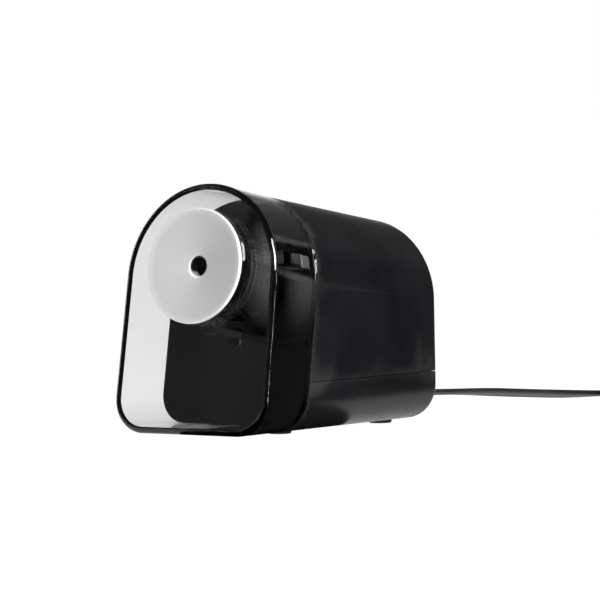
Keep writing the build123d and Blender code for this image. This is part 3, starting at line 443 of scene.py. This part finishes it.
def cord_points():
    """Control points of the whole cord: route, coil and tail."""
    before, join = Vector(CORD_ROUTE[-2]), Vector(CORD_ROUTE[-1])
    heading = atan2(join.y - before.y, join.x - before.x)
    centre = Vector((join.x + sin(heading) * TURN_RADII[0], join.y - cos(heading) * TURN_RADII[0], 0.0))
    points = [Vector(point) for point in CORD_ROUTE]
    steps = round(COIL_TURNS * POINTS_PER_TURN)
    for k in range(1, steps):
        turn = COIL_TURNS * k / steps
        radius, height = coil_state(turn)
        angle = heading + pi / 2 - 2 * pi * turn
        points.append(centre + Vector((radius * cos(angle), radius * sin(angle), height)))
    tail_heading = heading - 2 * pi * COIL_TURNS
    way = Vector((cos(tail_heading), sin(tail_heading), 0.0))
    start = centre + Vector((-sin(tail_heading), cos(tail_heading), 0.0)) * TURN_RADII[-1]
    for along, height in TAIL_STEPS:
        points.append(start + way * along + Vector((0.0, 0.0, height)))
    return points


def cord_line(points):
    """The smooth line of the cord, read from a NURBS spline with these control points."""
    curve = bpy.data.curves.new("cord_line", "CURVE")
    curve.dimensions = "3D"
    curve.resolution_u = 6
    spline = curve.splines.new("NURBS")
    spline.points.add(len(points) - 1)
    for control, point in zip(spline.points, points):
        control.co = (*point, 1.0)
    spline.order_u = 3
    spline.use_endpoint_u = True
    holder = bpy.data.objects.new("cord_line", curve)
    bpy.context.scene.collection.objects.link(holder)
    bpy.context.view_layer.update()
    line = bpy.data.meshes.new_from_object(holder)
    path = [vertex.co.copy() for vertex in line.vertices]
    bpy.data.objects.remove(holder)
    bpy.data.meshes.remove(line)
    return path


def cord_section():
    """Outline of the flat twin cord: two round lobes joined by a narrow web."""
    lobe = CORD_THICKNESS / 2
    centre = CORD_WIDTH / 2 - lobe
    outline = []
    for side in (1, -1):
        for k in range(LOBE_STEPS):
            angle = LOBE_START + LOBE_STEP * k
            outline.append((side * (centre + lobe * cos(angle)), side * lobe * sin(angle)))
    return outline


def cord_roll(length):
    """Angle in radians that the flat cord is turned about its own line, at a length from the exit."""
    rise = smooth_step((length - ROLL_START) / ROLL_RISE)
    fall = 1 - smooth_step((length - ROLL_END) / ROLL_FALL)
    return ROLL * rise * fall


def make_cord(materials):
    """The whole flat cord as one mesh from the strain relief to the plug, with its line and length."""
    path = cord_line(cord_points())
    outline = cord_section()
    rings = []
    length = 0.0
    for k, point in enumerate(path):
        if k:
            length += (point - path[k - 1]).length
        tangent = (path[min(k + 1, len(path) - 1)] - path[max(k - 1, 0)]).normalized()
        across = tangent.cross(Vector((0.0, 0.0, 1.0))).normalized()
        upward = across.cross(tangent)
        roll = cord_roll(length)
        wide = across * cos(roll) + upward * sin(roll)
        thick = upward * cos(roll) - across * sin(roll)
        rings.append([point + wide * u + thick * v for u, v in outline])
    vertices, faces = tube_mesh(rings)
    cord = mesh_object("cord", vertices, faces, materials["cord_vinyl"])
    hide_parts("power_cord", "cord_coil", "plug_lead")
    return cord, path, length


# ---------------------------------------------------------------- studio
FLOOR_SIZE = 30.0
SWEEP_WHITE = 1.0  # radiance of the white sweep behind and below
STUDIO_DARK = 0.10  # radiance of the unlit room in front
SWEEP_EDGE = (0.70, 0.90)  # cosine from the line of sight where the sweep starts and is full
SWEEP_TOP = (0.30, 0.08)  # sine of the height where the sweep ends and is full
CARD_EDGE = (0.5, 0.1)  # shares of a glow card where its light ends and is full
WARM_WHITE = (1.0, 0.96, 0.93)
COOL_WHITE = (0.85, 0.90, 1.0)


def make_floor():
    """Wide pale floor, lit evenly from within like a light table."""
    material, tree, shader, vector = new_material("floor")
    tone = tint(tree, noise(tree, vector, 3.0, 2.0), (0.10, 0.10, 0.10), (0.12, 0.12, 0.12))
    tree.links.new(tone, shader.inputs["Base Color"])
    shader.inputs["Roughness"].default_value = 0.9
    shader.inputs["Specular IOR Level"].default_value = 0.0
    shader.inputs["Emission Color"].default_value = (1.0, 1.0, 1.0, 1.0)
    shader.inputs["Emission Strength"].default_value = 1.0
    bpy.ops.mesh.primitive_plane_add(size=FLOOR_SIZE, location=(0.0, 0.0, 0.0))
    floor = bpy.context.object
    floor.name = "floor"
    floor.data.materials.append(material)


def make_world():
    """Low white sweep behind the sharpener, a dark room elsewhere, and plain white where seen directly."""
    world = bpy.data.worlds.new("studio")
    bpy.context.scene.world = world
    world.use_nodes = True
    tree = world.node_tree
    tree.nodes.clear()
    output = tree.nodes.new("ShaderNodeOutputWorld")
    background = tree.nodes.new("ShaderNodeBackground")
    background.inputs["Color"].default_value = (1.0, 1.0, 1.0, 1.0)
    coordinates = tree.nodes.new("ShaderNodeTexCoord")
    along = tree.nodes.new("ShaderNodeVectorMath")
    along.operation = "DOT_PRODUCT"
    along.inputs[1].default_value = -view_axes()[2]
    tree.links.new(coordinates.outputs["Generated"], along.inputs[0])
    sweep = tree.nodes.new("ShaderNodeMapRange")
    sweep.interpolation_type = "SMOOTHSTEP"
    sweep.inputs["From Min"].default_value = SWEEP_EDGE[0]
    sweep.inputs["From Max"].default_value = SWEEP_EDGE[1]
    sweep.inputs["To Min"].default_value = STUDIO_DARK
    sweep.inputs["To Max"].default_value = SWEEP_WHITE
    tree.links.new(along.outputs["Value"], sweep.inputs["Value"])
    parts = tree.nodes.new("ShaderNodeSeparateXYZ")
    tree.links.new(coordinates.outputs["Generated"], parts.inputs["Vector"])
    low = tree.nodes.new("ShaderNodeMapRange")
    low.interpolation_type = "SMOOTHSTEP"
    low.inputs["From Min"].default_value = SWEEP_TOP[0]
    low.inputs["From Max"].default_value = SWEEP_TOP[1]
    low.inputs["To Min"].default_value = STUDIO_DARK
    low.inputs["To Max"].default_value = SWEEP_WHITE
    tree.links.new(parts.outputs["Z"], low.inputs["Value"])
    both = tree.nodes.new("ShaderNodeMath")
    both.operation = "MINIMUM"
    tree.links.new(sweep.outputs["Result"], both.inputs[0])
    tree.links.new(low.outputs["Result"], both.inputs[1])
    rays = tree.nodes.new("ShaderNodeLightPath")
    brighter = tree.nodes.new("ShaderNodeMath")
    brighter.operation = "MAXIMUM"
    tree.links.new(rays.outputs["Is Camera Ray"], brighter.inputs[0])
    tree.links.new(both.outputs["Value"], brighter.inputs[1])
    tree.links.new(brighter.outputs["Value"], background.inputs["Strength"])
    tree.links.new(background.outputs["Background"], output.inputs["Surface"])


def make_flags():
    """Black cards, seen only in or through the pieces: two at the right rear, and one under the front as a
    painted shadow under the sharpener.
    """
    material, tree, shader, vector = new_material("flag")
    tone = tint(tree, noise(tree, vector, 20.0), (0.004, 0.004, 0.005), (0.008, 0.008, 0.009))
    tree.links.new(tone, shader.inputs["Base Color"])
    shader.inputs["Roughness"].default_value = 0.9
    shader.inputs["Specular IOR Level"].default_value = 0.0
    for name, place, size, turn in (
        ("flag_standing", (0.62, 0.62, 0.0), (1.5, 0.9, 1.0), (pi / 2, 0.0, radians(-45.0))),
        ("flag_lying", (0.805, 0.35, 0.0004), (1.5, 1.5, 1.0), (0.0, 0.0, 0.0)),
        # painted shadow: a black card under the front, seen through the clear plastic, stands in for the
        # shadow under the sharpener
        ("shadow_card_under", (0.050, -0.043, 0.0004), (0.11, 0.11, 1.0), (0.0, 0.0, 0.0)),
    ):
        bpy.ops.mesh.primitive_plane_add(size=1.0, location=place)
        flag = bpy.context.object
        flag.name = name
        flag.scale = size
        flag.rotation_euler = turn
        flag.data.materials.append(material)
        flag.visible_camera = False
        flag.visible_diffuse = False
        flag.visible_shadow = False


def glow_card(name, aim, azimuth, elevation, distance, width, height, strength):
    """Soft-edged card, seen only in or through the pieces, that lifts a part of the clear plastic."""
    material, tree, shader, vector = new_material(name)
    falloff = tree.nodes.new("ShaderNodeVectorMath")
    falloff.operation = "LENGTH"
    tree.links.new(vector, falloff.inputs[0])
    soft = tree.nodes.new("ShaderNodeMapRange")
    soft.interpolation_type = "SMOOTHSTEP"
    soft.inputs["From Min"].default_value = CARD_EDGE[0]
    soft.inputs["From Max"].default_value = CARD_EDGE[1]
    soft.inputs["To Max"].default_value = strength
    tree.links.new(falloff.outputs["Value"], soft.inputs["Value"])
    shader.inputs["Base Color"].default_value = (0.0, 0.0, 0.0, 1.0)
    shader.inputs["Specular IOR Level"].default_value = 0.0
    shader.inputs["Emission Color"].default_value = (*WARM_WHITE, 1.0)
    tree.links.new(soft.outputs["Result"], shader.inputs["Emission Strength"])
    turn, tilt = radians(azimuth), radians(elevation)
    back = Vector((sin(turn) * cos(tilt), -cos(turn) * cos(tilt), sin(tilt)))
    bpy.ops.mesh.primitive_plane_add(size=1.0, location=Vector(aim) + back * distance)
    card = bpy.context.object
    card.name = name
    card.scale = (width, height, 1.0)
    card.rotation_mode = "QUATERNION"
    card.rotation_quaternion = back.to_track_quat("Z", "Y")
    card.data.materials.append(material)
    card.visible_camera = False
    card.visible_diffuse = False
    card.visible_shadow = False


def area_light(name, azimuth, elevation, distance, width, height, power, colour=(1.0, 1.0, 1.0)):
    """Softbox aimed at the middle of the sharpener."""
    aim = Vector((0.0, 0.0, 0.05))
    turn, tilt = radians(azimuth), radians(elevation)
    back = Vector((sin(turn) * cos(tilt), -cos(turn) * cos(tilt), sin(tilt)))
    data = bpy.data.lights.new(name, "AREA")
    data.shape = "RECTANGLE"
    data.size = width
    data.size_y = height
    data.energy = power
    data.color = colour
    light = bpy.data.objects.new(name, data)
    light.location = aim + back * distance
    light.rotation_mode = "QUATERNION"
    light.rotation_quaternion = back.to_track_quat("Z", "Y")
    bpy.context.scene.collection.objects.link(light)


def make_lights():
    """Soft key from the right, a strip for edge highlights, a dim shoulder light and the glow cards."""
    area_light("key", azimuth=68.0, elevation=32.0, distance=1.2, width=0.6, height=0.6, power=32.0)
    area_light("strip", azimuth=100.0, elevation=8.0, distance=1.0, width=0.10, height=0.8, power=3.0)
    glow_card("glow_front", (0.0295, -0.0535, 0.080), -37.6, 12.9, 1.0, 0.055, 0.10, 1.0)
    glow_card("glow_side", (0.0380, -0.0600, 0.074), 149.1, -0.6, 0.5, 0.030, 0.10, 0.55)
    glow_card("rim_card", (0.0, -0.050, 0.060), -92.0, 6.0, 0.8, 1.1, 1.1, 2.0)
    area_light("shoulder", 152.0, 27.5, 1.0, 0.35, 0.13, 0.036, COOL_WHITE)


def main():
    bpy.context.scene.view_settings.view_transform = "Standard"
    make_camera()
    materials = make_materials()
    cord, path, cord_length = make_cord(materials)
    dress_cad_nodes(materials)
    make_floor()
    make_world()
    make_flags()
    make_lights()


main()
